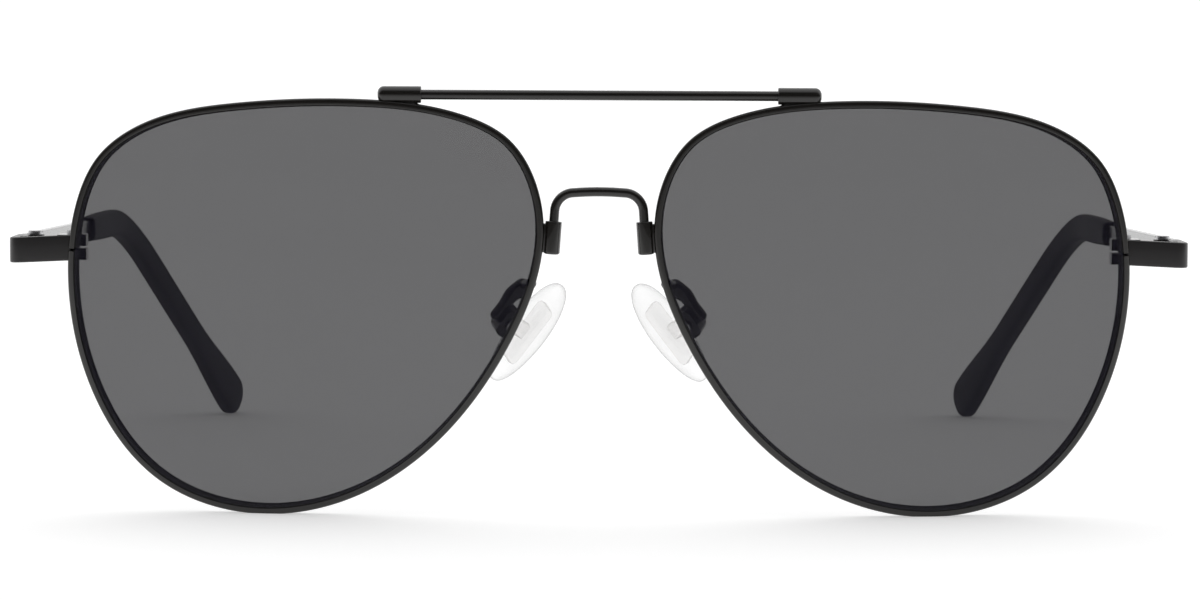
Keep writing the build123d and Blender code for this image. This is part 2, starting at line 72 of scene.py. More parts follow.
def mesh_piece(name, grid, side=1, caps=True, crease=35):
    """A mesh from a grid of points: each row joins its next row by four-sided faces.

    Every row closes on itself, caps fills the first and last row with one face each, and points that
    coincide become one, so a row drawn together to a point is a pole. side = -1 mirrors it.
    """
    rows, columns = grid.shape[:2]
    points = grid.reshape(-1, 3) * (side, 1, 1)
    index = np.arange(rows * columns).reshape(rows, columns)
    following = np.roll(index, -1, axis=1)
    corners = (index[:-1], following[:-1], following[1:], index[1:])
    faces = np.stack(corners, axis=-1).reshape(-1, 4).tolist()
    if caps:
        faces += [index[0][::-1].tolist(), index[-1].tolist()]
    mesh = bpy.data.meshes.new(name)
    mesh.from_pydata(points.tolist(), [], faces)
    closed_outwards(mesh)
    mesh.shade_smooth()
    mesh.set_sharp_from_angle(angle=math.radians(crease))
    piece = bpy.data.objects.new(name, mesh)
    bpy.context.scene.collection.objects.link(piece)
    return piece


def closed_outwards(mesh):
    """Joins points that coincide, drops faces without area and turns all faces outwards."""
    work = bmesh.new()
    work.from_mesh(mesh)
    bmesh.ops.remove_doubles(work, verts=work.verts, dist=JOIN_DISTANCE)
    bmesh.ops.dissolve_degenerate(work, edges=work.edges, dist=JOIN_DISTANCE)
    bmesh.ops.recalc_face_normals(work, faces=work.faces)
    work.to_mesh(mesh)
    work.free()


def unit(vectors):
    """Vectors of length one, for one vector or for rows of them."""
    return vectors / np.linalg.norm(vectors, axis=-1, keepdims=True)


def carried(path, aside, upward, section):
    """A section carried along a path.

    Point = path(s) + aside(s) * u + upward(s) * v, for every (u, v) of the section. The section and the
    two directions may be the same for the whole path, or differ from point to point.
    """
    aside, upward = (np.broadcast_to(way, path.shape) for way in (aside, upward))
    section = np.broadcast_to(section, (len(path),) + np.shape(section)[-2:])
    return path[:, None] + aside[:, None] * section[..., :1] + upward[:, None] * section[..., 1:]


def rounded_box(width, height, radius, steps=6):
    """A rectangle's outline with a quarter circle at each corner, as (u, v) points.

    Point = (side to side) * (half size - radius) + radius * (cos a, sin a), with a from 0 to 360
    degrees. Sizes given as arrays make one outline for each of their values.
    """
    angle = np.radians(np.add.outer((0, 90, 180, 270), np.linspace(0, 90, steps))).ravel()
    circle = np.stack([np.cos(angle), np.sin(angle)], axis=-1)
    signs = np.repeat([(1, 1), (-1, 1), (-1, -1), (1, -1)], steps, axis=0)
    half = np.stack(np.broadcast_arrays(width, height), axis=-1) / 2
    radius = np.asarray(radius, dtype=float)[..., None, None]
    return signs * (half[..., None, :] - radius) + radius * circle


def bent_path(corners, radii, spacing=0.4 * MM):
    """Straight runs joined by arcs: each corner is replaced by the arc of its radius that touches both
    runs, which starts radius * tan(turn / 2) before it."""
    corners = np.asarray(corners, dtype=float)
    pieces = [corners[:1]]
    for before, corner, after, radius in zip(corners, corners[1:], corners[2:], radii):
        arriving, leaving = unit(corner - before), unit(after - corner)
        turn = math.acos(np.clip(arriving @ leaving, -1, 1))
        reach = radius * math.tan(turn / 2)
        inward = unit(leaving - arriving)
        centre = corner + inward * radius / math.cos(turn / 2)
        count = max(4, int(radius * turn / spacing))
        angle = np.linspace(-turn / 2, turn / 2, count)[:, None]
        along = unit(arriving + leaving)
        pieces.append(centre + radius * (np.sin(angle) * along - np.cos(angle) * inward))
    pieces.append(corners[-1:])
    return np.concatenate(pieces)


def evenly(path, count):
    """The same path with its points at equal distances."""
    length = np.concatenate([[0], np.cumsum(np.linalg.norm(np.diff(path, axis=0), axis=1))])
    places = np.linspace(0, length[-1], count)
    return np.stack([np.interp(places, length, path[:, axis]) for axis in range(3)], axis=-1)


def directions(path):
    """The path's direction at each of its points."""
    return unit(np.gradient(path, axis=0))


print("mesh helpers ready")

# %% [markdown]
# ## Shaders as sums
#
# A procedural material is arithmetic on noise and position. Wiring it node by node hides that, so one
# small class wraps a node's output, and `+`, `-`, `*` and `**` on it add the Math nodes. All other
# nodes come from `Finish.node`, which sets a node's own settings first and its sockets after.

# %% The shader helpers
class Signal:
    """A number that varies over a surface: one output of a shader node."""

    def __init__(self, finish, socket):
        self.finish = finish
        self.socket = socket

    def math(self, operation, other=0.0, swapped=False):
        pair = (other, self) if swapped else (self, other)
        return self.finish.node("ShaderNodeMath", {"operation": operation}, dict(enumerate(pair)))

    def __add__(self, other):
        return self.math("ADD", other)

    def __sub__(self, other):
        return self.math("SUBTRACT", other)

    def __rsub__(self, other):
        return self.math("SUBTRACT", other, swapped=True)

    def __mul__(self, other):
        return self.math("MULTIPLY", other)

    def __pow__(self, other):
        return self.math("POWER", other)

    __radd__ = __add__
    __rmul__ = __mul__


class Finish:
    """A material with one Principled shader, and nodes that feed it."""

    def __init__(self, name, **constants):
        self.material = bpy.data.materials.new(name)
        self.material.use_nodes = True
        self.tree = self.material.node_tree
        self.shader = self.tree.nodes["Principled BSDF"]
        for socket, value in constants.items():
            self.shader.inputs[socket.replace("_", " ")].default_value = value

    def node(self, kind, settings, sockets, output=0):
        """Adds a node: its settings first, then the values or links of its sockets."""
        node = self.tree.nodes.new(kind)
        for setting, value in settings.items():
            setattr(node, setting, value)
        for socket, value in sockets.items():
            if isinstance(value, Signal):
                self.tree.links.new(value.socket, node.inputs[socket])
            else:
                node.inputs[socket].default_value = value
        return Signal(self, node.outputs[output])

    def feed(self, socket, signal):
        """Lets a signal drive one of the shader's sockets."""
        self.tree.links.new(signal.socket, self.shader.inputs[socket])

    def place(self):
        """Position on the piece, in metres."""
        return self.node("ShaderNodeTexCoord", {}, {}, "Object")

    def noise(self, scale, detail=2.0, stretch=None):
        """Cloudy noise from 0 to 1; scale is in features per metre."""
        where = self.place()
        if stretch:
            where = self.node("ShaderNodeMapping", {}, {"Vector": where, "Scale": stretch})
        return self.node("ShaderNodeTexNoise", {}, {"Vector": where, "Scale": scale, "Detail": detail})

    def blend(self, share, first, second):
        """A colour between two colours."""
        sockets = {0: share, 6: first, 7: second}
        return self.node("ShaderNodeMix", {"data_type": "RGBA"}, sockets, 2)

    def bump(self, height, depth):
        """Raises the surface by height * depth metres."""
        sockets = {"Height": height, "Distance": depth, "Strength": 1.0}
        self.feed("Normal", self.node("ShaderNodeBump", {}, sockets))


print("shader helpers ready")

# %% [markdown]
# ## Materials
#
# The frame is coated metal: a black lacquer with a very slight waviness, glossy on the wires and satin
# on the strips beside them. The gloss is in the coat, and the small unevenness that makes it believable
# is in the roughness and in a bump of a few thousandths of a millimetre.

# %% Coated metal
def coated_metal(name, tone, roughness, spread, coat, wave_depth):
    """Black lacquer: patches of more and less gloss, a soft wave and fine dust under the coat."""
    finish = Finish(name, Coat_Weight=coat, Coat_Roughness=0.06, Coat_IOR=1.45, Specular_IOR_Level=0.38)
    patches = finish.noise(180.0, 3.0)
    dust = finish.noise(9000.0, 1.0)
    wave = finish.noise(700.0, 2.0)
    dark = [channel * 0.8 for channel in tone[:3]] + [1.0]
    finish.feed("Base Color", finish.blend(patches, dark, tone))
    finish.feed("Roughness", (patches - 0.5) * spread + (dust - 0.5) * (spread / 2) + roughness)
    finish.bump(wave + dust * 0.25, wave_depth)
    return finish.material


GLOSS_BLACK = coated_metal("gloss_black", (0.0100, 0.0086, 0.0070, 1.0), 0.24, 0.08, 0.6, 4e-6)
SATIN_BLACK = coated_metal("satin_black", (0.0200, 0.0185, 0.0190, 1.0), 0.36, 0.08, 0.15, 3e-6)
TEMPLE_BLACK = coated_metal("temple_black", (0.0100, 0.0095, 0.0095, 1.0), 0.22, 0.06, 0.6, 3e-6)
print("coated metals:", GLOSS_BLACK.name, SATIN_BLACK.name, TEMPLE_BLACK.name)

# %% [markdown]
# The tips are moulded plastic with a spark-eroded mould's fine grain. The screws are dark steel, turned
# on a lathe. The lens is a film of grey: its alpha says how much light each of its two faces stops, and
# the gloss is on top. Glass with real refraction would show the same, because a lens without power
# bends nothing, but it would shade the ground like a black plate.

# %% Plastic, steel and glass
def moulded_plastic():
    """Matt black plastic with a fine grain and slightly polished patches."""
    finish = Finish("matt_tip", Specular_IOR_Level=0.2)
    grain = finish.noise(5200.0, 2.0)
    touch = finish.noise(90.0, 3.0)
    finish.feed("Base Color", finish.blend(grain, (0.0050, 0.0050, 0.0054, 1), (0.0085, 0.0085, 0.009, 1)))
    finish.feed("Roughness", touch * 0.14 + grain * 0.08 + 0.36)
    finish.bump(grain, 9e-6)
    return finish.material


def turned_steel():
    """Dark steel with the faint noise of a turned face."""
    finish = Finish("screw_steel", Metallic=1.0)
    lines = finish.noise(4000.0, 2.0)
    finish.feed("Base Color", finish.blend(lines, (0.42, 0.42, 0.43, 1), (0.58, 0.58, 0.59, 1)))
    finish.feed("Roughness", lines * 0.15 + 0.2)
    finish.bump(lines, 3e-6)
    return finish.material


def smoke_lens():
    """Neutral grey tint, equal all over, with the faint haze of a wiped surface in its gloss."""
    finish = Finish("smoke_lens", IOR=1.5, Specular_IOR_Level=0.06)
    wipes = finish.noise(60.0, 4.0, (1.0, 1.0, 5.0))
    finish.feed("Base Color", finish.blend(wipes, (0.0120, 0.0110, 0.0190, 1), (0.0130, 0.0120, 0.0200, 1)))
    finish.feed("Roughness", wipes * 0.03 + 0.015)
    finish.feed("Alpha", wipes * 0.004 + 0.648)
    return finish.material


def clear_plastic(name, index, tone, facing_alpha, edge_alpha, narrowness, roughness):
    """Clear plastic: nearly invisible face on; where the surface turns away, painted grey edge shade and
    thicker alpha stand in for the view that refraction bends towards the dim room.
    """
    finish = Finish(name, IOR=index, Specular_IOR_Level=0.3)
    cloud = finish.noise(500.0, 3.0)
    turned = finish.node("ShaderNodeLayerWeight", {}, {"Blend": 0.5}, "Facing")
    # Painted edge shade: a quarter of the tone, blended in where the surface turns away, in place of real
    # refraction.
    dark = [channel * 0.25 for channel in tone[:3]] + [1]
    finish.feed("Base Color", finish.blend(turned ** 3.0, tone, dark))
    finish.feed("Roughness", cloud * 0.1 + roughness)
    finish.feed("Alpha", (turned ** narrowness) * (edge_alpha - facing_alpha) + cloud * 0.03 + facing_alpha)
    finish.bump(finish.noise(2500.0, 2.0), 4e-6)
    return finish.material


MATT_TIP = moulded_plastic()
STEEL = turned_steel()
LENS = smoke_lens()
RUBBER = clear_plastic("clear_rubber", 1.41, (0.60, 0.60, 0.60, 1), 0.03, 0.9, 3.0, 0.15)
CORE = clear_plastic("clear_core", 1.49, (0.80, 0.74, 0.70, 1), 0.06, 1.0, 5.0, 0.08)
print("materials:", len(bpy.data.materials))

# %% [markdown]
# Every piece needs the same three things: a material, the body that it moves with, and the CAD nodes
# that it stands for, which are hidden. One function gives them all.

# %% One call for what every piece needs
def fit(piece, body, slot, material, *nodes):
    """Gives a piece its material and the body it moves with, and hides the CAD nodes that it stands for."""
    piece.data.materials.clear()
    piece.data.materials.append(material)
    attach(piece, body)
    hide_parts(*nodes)
    triangles = sum(len(face.vertices) - 2 for face in piece.data.polygons)
    print(f"{piece.name}: {triangles} triangles")
    return piece


print("fitting helper ready")

# %% [markdown]
# ## The lens shape
#
# An aviator lens is a drop that leans outwards. Its outline is a smooth closed curve through sixteen
# points, given as shares of half the lens's width and height. The lens lies on a sphere and is leaned
# and wrapped as the front is, so three directions and one function carry the flat shape to its place.

# %% Outline and place of the lens
LENS_WIDTH = 58.7 * MM
LENS_HEIGHT = 51.7 * MM
LENS_THICKNESS = 2.0 * MM
LENS_RADIUS = 130 * MM
LENS_SHAPE = np.array([
    (1.000, 0.087), (0.958, 0.500), (0.874, 0.696), (0.723, 0.837), (0.286, 0.971), (-0.254, 0.998),
    (-0.683, 0.922), (-0.851, 0.819), (-0.957, 0.641), (-1.000, 0.390), (-0.863, -0.144),
    (-0.517, -0.669), (-0.284, -0.859), (0.158, -1.000), (0.626, -0.852), (0.916, -0.392),
])
lean, wrap = math.radians(6), math.radians(5)
TEMPORAL = np.array([math.cos(wrap), math.sin(wrap) * math.cos(lean), math.sin(wrap) * math.sin(lean)])
FORWARD = np.array([math.sin(wrap), -math.cos(wrap) * math.cos(lean), -math.cos(wrap) * math.sin(lean)])
UPWARD = np.cross(FORWARD, TEMPORAL)


FINE_STEPS = 4000


def closed_curve(points, count):
    """A smooth closed curve through the points, at equal distances along it.

    Between two points it is a cubic whose second derivatives agree at every point: they solve
    h0 * m0 + 2 * (h0 + h1) * m1 + h1 * m2 = 6 * (slope after - slope before), all the way round.
    """
    after = np.roll(points, -1, axis=0)
    step = np.linalg.norm(after - points, axis=1)
    before = np.roll(step, 1)
    slope = (after - points) / step[:, None]
    size = len(points)
    index = np.arange(size)
    system = np.zeros((size, size))
    system[index, index] = 2 * (before + step)
    system[index, index - 1] = before
    system[index, (index + 1) % size] = step
    bend = np.linalg.solve(system, 6 * (slope - np.roll(slope, 1, axis=0)))
    knots = np.concatenate([[0], np.cumsum(step)])
    places = np.linspace(0, knots[-1], FINE_STEPS)
    k = np.clip(np.searchsorted(knots, places, side="right") - 1, 0, size - 1)
    share = ((places - knots[k]) / step[k])[:, None]
    rest = 1 - share
    dip = (rest ** 3 - rest) * bend[k] + (share ** 3 - share) * bend[(k + 1) % size]
    fine = rest * points[k] + share * after[k] + dip * (step[k] ** 2)[:, None] / 6
    length = np.concatenate([[0], np.cumsum(np.linalg.norm(np.diff(fine, axis=0), axis=1))])
    even = np.linspace(0, length[-1], count, endpoint=False)
    return np.stack([np.interp(even, length, fine[:, axis]) for axis in range(2)], axis=-1)


def on_lens(flat, depth, centre):
    """From the flat lens shape to its place: across, up, and back to the sphere of radius R - depth."""
    across, up = flat[..., 0], flat[..., 1]
    forward = np.sqrt((LENS_RADIUS - depth) ** 2 - across ** 2 - up ** 2) - LENS_RADIUS
    return centre + across[..., None] * TEMPORAL + up[..., None] * UPWARD + forward[..., None] * FORWARD


outline = closed_curve(LENS_SHAPE * (LENS_WIDTH / 2, LENS_HEIGHT / 2), 400)
heading = unit(np.roll(outline, -1, axis=0) - np.roll(outline, 1, axis=0))
outward = np.stack([heading[:, 1], -heading[:, 0]], axis=-1)
face = on_lens(np.linspace(0, 1, 41)[:, None, None] * outline, 0, np.zeros(3))
edge = on_lens(outline, LENS_THICKNESS / 2, np.zeros(3))
box_low, box_high = (np.array(corner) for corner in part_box("lens_left"))
LENS_CENTRE = (box_low + box_high) / 2 - (edge.min(axis=0) + edge.max(axis=0)) / 2
LENS_CENTRE[1] = box_low[1] - face[..., 1].min()
print("lens centre in mm:", np.round(LENS_CENTRE / MM, 2))

# %% [markdown]
# ## Lenses
#
# The lens is one closed surface: rings from the middle of the front out to its edge, over the V of the
# bevel that the rim's groove holds, and rings back to the middle behind. Each ring is the outline drawn
# in by the same distance all round, then shrunk towards the middle.

# %% Lenses
BEVEL = 0.45 * MM
BEVEL_FLAT = 0.1 * MM


def lens_grid():
    """Ring = (outline - outward * inset) * share, laid on the sphere at its depth."""
    shares = np.sin(np.radians(np.linspace(0, 90, 22)))
    middle = LENS_THICKNESS / 2
    front = [(share, BEVEL, 0.0) for share in shares]
    bevel = [(1.0, 0.0, middle - BEVEL_FLAT / 2), (1.0, 0.0, middle + BEVEL_FLAT / 2)]
    back = [(share, BEVEL, LENS_THICKNESS) for share in shares[::-1]]
    share, inset, depth = (column[:, None] for column in np.array(front + bevel + back).T)
    rings = (outline - outward * inset[..., None]) * share[..., None]
    return on_lens(rings, depth, LENS_CENTRE)


for name, side in SIDES.items():
    lens = mesh_piece(f"tinted_lens_{name}", lens_grid(), side, caps=False, crease=20)
    fit(lens, "front", "lens_tint", LENS, f"lens_{name}")

# %% [markdown]
# ## Rims
#
# The rim is a wire with a V groove rolled into its inner face and a rounded back, bent round the lens.
# It is open at the temple side, where the rim lock draws its two ends together, so the section is
# carried along the outline from one side of that slit to the other. It could be a curve with a bevel
# object, but then the groove would twist wherever the outline turns.

# %% Rims
RIM_WALL = 0.45 * MM
RIM_DEPTH = 1.85 * MM
RIM_ROUNDING = 0.4 * MM
RIM_STEPS = 6001
RIM_ROWS = 420
LIP = 0.08 * MM
LIP_ROUNDING = 0.3 * LIP
GROOVE_PLAY = 0.02 * MM
lock_level = (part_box("rim_lock_upper_left")[0][2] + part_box("rim_lock_lower_left")[1][2]) / 2
rim_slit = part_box("rim_lock_upper_left")[0][2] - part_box("rim_lock_lower_left")[1][2]


def rim_section():
    """Outer face with rounded edges, two lips with their edges broken, and the groove between them."""
    turn = np.radians(np.linspace(0, 90, 9))
    front = RIM_DEPTH / 2
    centre = np.array([RIM_WALL - RIM_ROUNDING, front - RIM_ROUNDING])
    outer = centre + RIM_ROUNDING * np.stack([np.cos(turn), np.sin(turn)], axis=-1)
    lip = np.array([
        (-BEVEL + LIP, front), (-BEVEL + LIP_ROUNDING, front - LIP_ROUNDING),
        (-BEVEL, front - LIP), (GROOVE_PLAY, BEVEL_FLAT / 2),
    ])
    half = np.concatenate([outer, lip])
    return np.concatenate([half, half[::-1] * (1, -1)])


def rim_grid():
    """The section carried along the outline: u points away from the lens, v out of its front."""
    place = on_lens(outline, LENS_THICKNESS / 2, LENS_CENTRE)
    slit = np.argmin(np.abs(place[:, 2] - lock_level) + (place[:, 0] < LENS_CENTRE[0]))
    path = np.roll(place, -slit, axis=0)
    path = evenly(np.concatenate([path, path[:1]]), RIM_STEPS)
    keep = np.linalg.norm(path - path[0], axis=1) > rim_slit / 2
    path = evenly(path[keep], RIM_ROWS)
    ball = LENS_CENTRE - FORWARD * LENS_RADIUS
    out_of_front = unit(path - ball)
    away = unit(np.cross(directions(path), out_of_front))
    away *= np.sign(np.sum(away * (path - LENS_CENTRE), axis=1))[:, None]
    return carried(path, away, out_of_front, rim_section())


for name, side in SIDES.items():
    rim = mesh_piece(f"eyewire_{name}", rim_grid(), side)
    fit(rim, "front", "frame_gloss_black", GLOSS_BLACK, f"rim_{name}")

# %% [markdown]
# ## Brow bar and bridge
#
# Both are plain round wire. The brow bar is straight and ends in a sleeve on each rim; the bridge rises
# from a sleeve beside each rim and goes over in two bends. A wire is a circle carried along its path. A
# rod is the same with a radius that changes on the way, so a rounded end is a radius that falls as a
# quarter circle. The solder that holds each sleeve to its rim is a rounded block, because a small
# puddle of metal is what joins them on the real frame.

# %% Round wires and turned rods
ACROSS, BACKWARD, UP = np.eye(3)
ROUND = np.radians(np.linspace(0, 360, 28, endpoint=False))
CIRCLE = np.stack([np.cos(ROUND), np.sin(ROUND)], axis=-1)


def tube_grid(path, radius):
    """A wire: point = path(s) + radius * (cos a * aside + sin a * upward)."""
    along = directions(path)
    aside = unit(np.cross(along, BACKWARD))
    return carried(path, aside, np.cross(along, aside), radius * CIRCLE)


def rod_grid(start, end, profile):
    """A turned rod from start to end: profile is (distance from start, radius) along its outline."""
    along = unit(end - start)
    aside = unit(np.cross(along, BACKWARD))
    distance, radius = profile.T[..., None]
    return carried(start + distance * along, aside, np.cross(along, aside), radius[..., None] * CIRCLE)


def rounded_rod(length, radius, near_edge, far_edge):
    """Outline of a rod from the middle of one end to that of the other; each edge is a quarter circle."""
    turn = np.radians(np.linspace(0, 90, 9))
    sine, cosine = np.sin(turn), np.cos(turn)
    near = np.stack([near_edge * (1 - cosine), radius - near_edge * (1 - sine)], axis=-1)
    far = np.stack([length - far_edge * (1 - sine), radius - far_edge * (1 - cosine)], axis=-1)
    return np.concatenate([[(0, 0)], near, far, [(length, 0)]])


# %% Brow bar, its sleeves and their solder
BAR_EDGE = 0.1 * MM
bar_low, bar_high = (np.array(corner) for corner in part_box("brow_bar"))
bar_centre = (bar_low + bar_high) / 2
bar_radius = (bar_high[2] - bar_low[2]) / 2
bar_half = (bar_high - bar_low)[0] / 2
bar_profile = rounded_rod(2 * bar_half, bar_radius, BAR_EDGE, BAR_EDGE)
bar_grid = rod_grid(bar_centre - ACROSS * bar_half, bar_centre + ACROSS * bar_half, bar_profile)
bar = mesh_piece("brow_wire", bar_grid, caps=False)
fit(bar, "front", "frame_gloss_black", GLOSS_BLACK, "brow_bar")

sleeve_low, sleeve_high = (np.array(corner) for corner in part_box("brow_sleeve_left"))
SLEEVE_RADIUS = 1.05 * MM
SLEEVE_EDGE = 0.15 * MM
SLEEVE_DOME = 0.8 * MM
FOOT_WIDTH = 3.6 * MM
FOOT_DEPTH = 1.0 * MM
FOOT_ROUNDING = 0.35 * MM
FOOT_SPREAD = 0.35


def brow_sleeve_grid():
    """A rod with one dome-shaped end and one end with its edge broken."""
    start = bar_centre + ACROSS * (sleeve_low[0] - bar_centre[0])
    length = sleeve_high[0] - sleeve_low[0]
    profile = rounded_rod(length, SLEEVE_RADIUS, SLEEVE_EDGE, SLEEVE_DOME)
    return rod_grid(start, start + ACROSS * length, profile)


def brow_foot_grid():
    """The solder under a brow sleeve: a rounded block, spread towards the rim by the height's 4th power."""
    top = np.array([(sleeve_low[0] + sleeve_high[0]) / 2, *bar_centre[1:]])
    share = np.linspace(0, 1, 9)
    path = top - UP * (share * (bar_centre[2] - sleeve_low[2]))[:, None]
    spread = 1 + FOOT_SPREAD * share ** 4
    section = rounded_box(FOOT_WIDTH * spread, FOOT_DEPTH * spread, FOOT_ROUNDING * spread)
    return carried(path, ACROSS, BACKWARD, section)


for name, side in SIDES.items():
    sleeve = mesh_piece(f"brow_socket_{name}", brow_sleeve_grid(), side, caps=False)
    foot = mesh_piece(f"brow_socket_solder_{name}", brow_foot_grid(), side)
    fit(sleeve, "front", "frame_gloss_black", GLOSS_BLACK, f"brow_sleeve_{name}")
    fit(foot, "front", "frame_gloss_black", GLOSS_BLACK, f"brow_sleeve_{name}")

# %% Bridge
bridge_low, bridge_high = (np.array(corner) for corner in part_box("bridge"))
BRIDGE_RADIUS = 0.59 * MM
BRIDGE_FOOT = 5.75 * MM
BRIDGE_SHOULDER = 5.35 * MM
BRIDGE_CORNER = 2.4 * MM
BRIDGE_RISE = 5.8 * MM
CROWN_RISE = 0.35 * MM
CROWN_RADIUS = 38 * MM
SLEEVE_HOLD = 1.6 * MM
half_turn = math.atan(CROWN_RISE / BRIDGE_SHOULDER)
bridge_top = bridge_high[2] - BRIDGE_RADIUS + CROWN_RADIUS * (1 / math.cos(half_turn) - 1)
bridge_back = (bridge_low[1] + bridge_high[1]) / 2
leg = unit(np.array([BRIDGE_SHOULDER - BRIDGE_FOOT, 0, BRIDGE_RISE]))
sleeve_middle = np.array([BRIDGE_FOOT, bridge_back, bridge_top - BRIDGE_RISE])
foot_end = sleeve_middle - leg * SLEEVE_HOLD
shoulder = np.array([BRIDGE_SHOULDER, bridge_back, bridge_top - CROWN_RISE])
crown = np.array([0, bridge_back, bridge_top])
mirror_x = np.array([-1, 1, 1])
arch_corners = [foot_end, shoulder, crown, shoulder * mirror_x, foot_end * mirror_x]
arch = bent_path(arch_corners, [BRIDGE_CORNER, CROWN_RADIUS, BRIDGE_CORNER], 0.15 * MM)
bridge = mesh_piece("bridge_wire", tube_grid(arch, BRIDGE_RADIUS))
fit(bridge, "front", "frame_gloss_black", GLOSS_BLACK, "bridge")

# %% The bridge's sleeves and their solder
BRIDGE_SLEEVE_RADIUS = 1.025 * MM
BRIDGE_SLEEVE_HALF = 2.05 * MM
LOWER_EDGE = 0.3 * MM
UPPER_EDGE = 0.12 * MM
TAB_OVERLAP = 0.25 * MM
TAB_DEPTH = 0.9 * MM
TAB_HEIGHT = 3.5 * MM
TAB_ROUNDING = 0.3 * MM


def bridge_sleeve_grid():
    """A short rod about the bridge's leg, both edges broken, the lower one more."""
    profile = rounded_rod(2 * BRIDGE_SLEEVE_HALF, BRIDGE_SLEEVE_RADIUS, LOWER_EDGE, UPPER_EDGE)
    reach = leg * BRIDGE_SLEEVE_HALF
    return rod_grid(sleeve_middle - reach, sleeve_middle + reach, profile)


def bridge_tab_grid():
    """The solder between sleeve and rim: a rounded bar that runs sideways and swells into the rim."""
    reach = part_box("bridge_sleeve_left")[1][0] + TAB_OVERLAP - sleeve_middle[0]
    share = np.linspace(0, 1, 7)
    path = sleeve_middle + ACROSS * (reach * share)[:, None]
    swell = share ** 3
    depth, height = TAB_DEPTH * (1 + 0.3 * swell), TAB_HEIGHT * (1 + 0.1 * swell)
    return carried(path, BACKWARD, UP, rounded_box(depth, height, TAB_ROUNDING))


for name, side in SIDES.items():
    sleeve = mesh_piece(f"bridge_socket_{name}", bridge_sleeve_grid(), side, caps=False)
    tab = mesh_piece(f"bridge_socket_solder_{name}", bridge_tab_grid(), side)
    fit(sleeve, "front", "frame_gloss_black", GLOSS_BLACK, f"bridge_sleeve_{name}")
    fit(tab, "front", "frame_gloss_black", GLOSS_BLACK, f"bridge_sleeve_{name}")

# %% [markdown]
# ## End pieces and temples
#
# An end piece is a strip that leaves the rim sideways and turns back to the hinge round a small corner;
# the temple goes on from it. Both are a rounded rectangle carried along a path. Their edges are rounded
# by two tenths of a millimetre, which is what draws the thin light line along a coated strip.

# %% End pieces
STRIP_THICKNESS = 1.1 * MM
STRIP_HEIGHT = 3.2 * MM
STRIP_CORNER = 1.6 * MM
STRIP_EDGE = 0.22 * MM
RIM_OVERLAP = 0.2 * MM
end_low, end_high = (np.array(corner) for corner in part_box("endpiece_left"))
strip_face = end_low[1] + STRIP_THICKNESS / 2
strip_outside = end_high[0] - STRIP_THICKNESS / 2
hinge_level = end_low[2] + STRIP_HEIGHT / 2
rim_level = end_high[2] - STRIP_HEIGHT / 2


def endpiece_grid():
    """Rounded rectangle along the bent plan, its level falling from the rim to the corner."""
    start = (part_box("rim_left")[1][0] - RIM_OVERLAP, strip_face, 0)
    corners = [start, (strip_outside, strip_face, 0), (strip_outside, end_high[1], 0)]
    plan = bent_path(corners, [STRIP_CORNER - STRIP_THICKNESS / 2], 0.08 * MM)
    fall = np.clip((plan[:, 0] - start[0]) / (strip_outside - start[0]), 0, 1)
    path = plan + (rim_level + (hinge_level - rim_level) * fall)[:, None] * UP
    aside = unit(np.cross(directions(plan), UP))
    return carried(path, aside, UP, rounded_box(STRIP_THICKNESS, STRIP_HEIGHT, STRIP_EDGE))


for name, side in SIDES.items():
    strip = mesh_piece(f"end_strip_{name}", endpiece_grid(), side)
    fit(strip, "front", "frame_satin_black", SATIN_BLACK, f"endpiece_{name}")

# %% [markdown]
# The temple's path is the CAD model's: level from the hinge to the corner of the bend, then down and
# inwards. The metal strip thins as it goes back and ends just inside the tip, a plastic sleeve that
# follows the bend and widens into a paddle with a half round end.

# %% The temple's path
TEMPLE_STRAIGHT = 85 * MM
TEMPLE_INSET = 2.6 * MM
TEMPLE_FALL = 0.9 * MM
TEMPLE_BEND = 28 * MM
DROP_SLOPE = math.radians(39)
DROP_TURN = math.radians(21)
STRIP_LENGTH = 54 * MM
STRIP_END_HEIGHT = 2.5 * MM
TIP_LAP = 2.0 * MM
PADDLE_HEIGHT = 6.2 * MM
GROUND_TRIM = 0.05 * MM

temple_start = np.array([strip_outside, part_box("temple_left")[0][1], hinge_level])
temple_corner = temple_start + (-TEMPLE_INSET, TEMPLE_STRAIGHT, -TEMPLE_FALL)
level_way = unit(temple_corner - temple_start)
inward_way = BACKWARD * math.cos(DROP_TURN) - ACROSS * math.sin(DROP_TURN)
drop_way = inward_way * math.cos(DROP_SLOPE) - UP * math.sin(DROP_SLOPE)
drop_height = temple_corner[2] - PADDLE_HEIGHT / 2
drop_length = drop_height / math.sin(DROP_SLOPE) + PADDLE_HEIGHT / 2 - GROUND_TRIM
temple_end = temple_corner + drop_way * drop_length
print("temple ends in mm:", np.round(temple_start / MM, 2), np.round(temple_end / MM, 2))

# %% Temple strips
def temple_grid():
    """Rounded rectangle along the level run: height = first + (last - first) * s towards the tip."""
    share = np.linspace(0, 1, 60)
    path = temple_start + level_way * (share * STRIP_LENGTH)[:, None]
    height = STRIP_HEIGHT + (STRIP_END_HEIGHT - STRIP_HEIGHT) * share
    aside = unit(np.cross(level_way, UP))
    section = rounded_box(STRIP_THICKNESS, height, STRIP_EDGE)
    return carried(path, aside, np.cross(aside, level_way), section)


for name, side in SIDES.items():
    strip = mesh_piece(f"temple_strip_{name}", temple_grid(), side)
    fit(strip, f"temple_arm_{name}", "temple_metal", TEMPLE_BLACK, f"temple_{name}")


# %% Temple tips
TIP_THICKNESS = 2.5 * MM
TIP_HEIGHT = 3.8 * MM
TIP_MOUTH_HEIGHT = 3.4 * MM
TIP_SQUARENESS = 3.6
MOUTH_LENGTH = 12 * MM
MOUTH_EDGE = 0.5 * MM
MOUTH_DRAW = 0.6 * MM
PADDLE_LENGTH = 17 * MM


def smooth(value, low, high):
    """0 below low, 1 above high, and an S curve 3 t^2 - 2 t^3 between them."""
    t = np.clip((value - low) / (high - low), 0, 1)
    return t * t * (3 - 2 * t)


